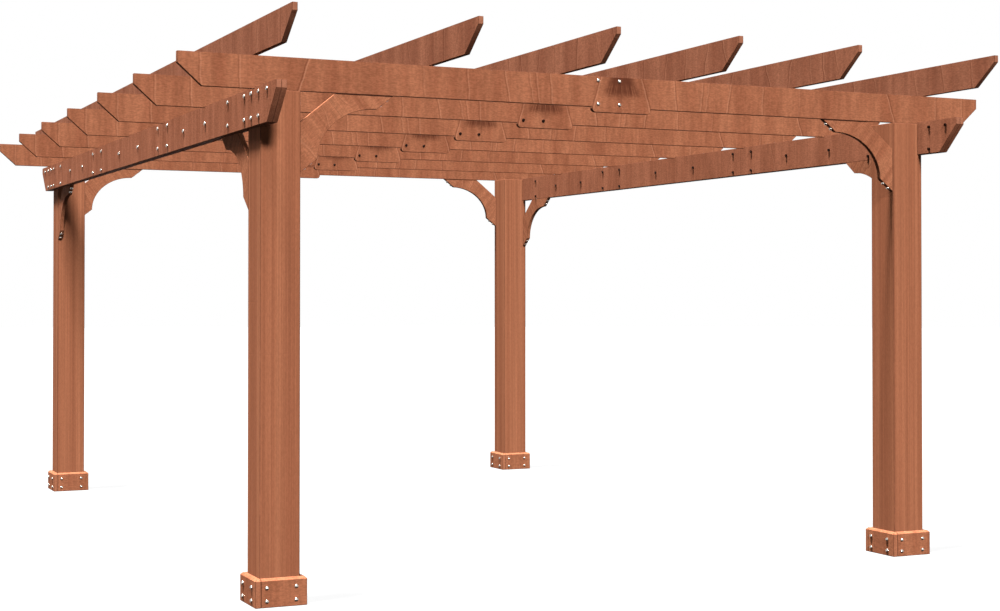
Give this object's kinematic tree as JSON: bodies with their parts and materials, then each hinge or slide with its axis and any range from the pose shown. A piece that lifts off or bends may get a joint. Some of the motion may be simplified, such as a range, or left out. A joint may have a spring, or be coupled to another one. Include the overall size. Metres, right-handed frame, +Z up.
{
  "type": "wooden pergola",
  "caption": "Free-standing stained wooden pergola with square skirted posts, double side beams, spliced rafters, purlins on top and hollowed knee braces.",
  "frame": {"origin": "on the ground at the centre of the four posts", "axes": "+Z up, +X along the front from left to right, +Y from the front to the back along the beams and purlins"},
  "size_m": [4.322, 6.044, 2.542],
  "materials": {
    "post_timber": "semi-transparent red-brown stain, satin",
    "trim_timber": "semi-transparent red-brown stain, satin",
    "beam_timber": "semi-transparent red-brown stain, satin",
    "roof_timber": "semi-transparent red-brown stain, satin",
    "bolt_metal": "zinc-plated dome heads"
  },
  "bodies": {
    "root": {"post_front_left": "post_timber", "post_front_right": "post_timber", "post_back_left": "post_timber", "post_back_right": "post_timber", "skirt_front_left_ends": "trim_timber", "skirt_front_left_sides": "trim_timber", "skirt_front_right_ends": "trim_timber", "skirt_front_right_sides": "trim_timber", "skirt_back_left_ends": "trim_timber", "skirt_back_left_sides": "trim_timber", "skirt_back_right_ends": "trim_timber", "skirt_back_right_sides": "trim_timber", "knee_braces_front_left": "trim_timber", "knee_braces_front_right": "trim_timber", "knee_braces_back_left": "trim_timber", "knee_braces_back_right": "trim_timber", "beam_left_outer_long": "beam_timber", "beam_left_outer_short": "beam_timber", "beam_left_inner_long": "beam_timber", "beam_left_inner_short": "beam_timber", "beam_right_outer_long": "beam_timber", "beam_right_outer_short": "beam_timber", "beam_right_inner_long": "beam_timber", "beam_right_inner_short": "beam_timber", "rafter_1_left": "roof_timber", "rafter_1_right": "roof_timber", "rafter_2_left": "roof_timber", "rafter_2_right": "roof_timber", "rafter_3_left": "roof_timber", "rafter_3_right": "roof_timber", "rafter_4_left": "roof_timber", "rafter_4_right": "roof_timber", "rafter_5_left": "roof_timber", "rafter_5_right": "roof_timber", "rafter_6_left": "roof_timber", "rafter_6_right": "roof_timber", "rafter_7_left": "roof_timber", "rafter_7_right": "roof_timber", "rafter_splices": "roof_timber", "purlin_1": "roof_timber", "purlin_2": "roof_timber", "purlin_3": "roof_timber", "purlin_4": "roof_timber", "purlin_5": "roof_timber", "purlin_6": "roof_timber"}
  },
  "joints": []
}
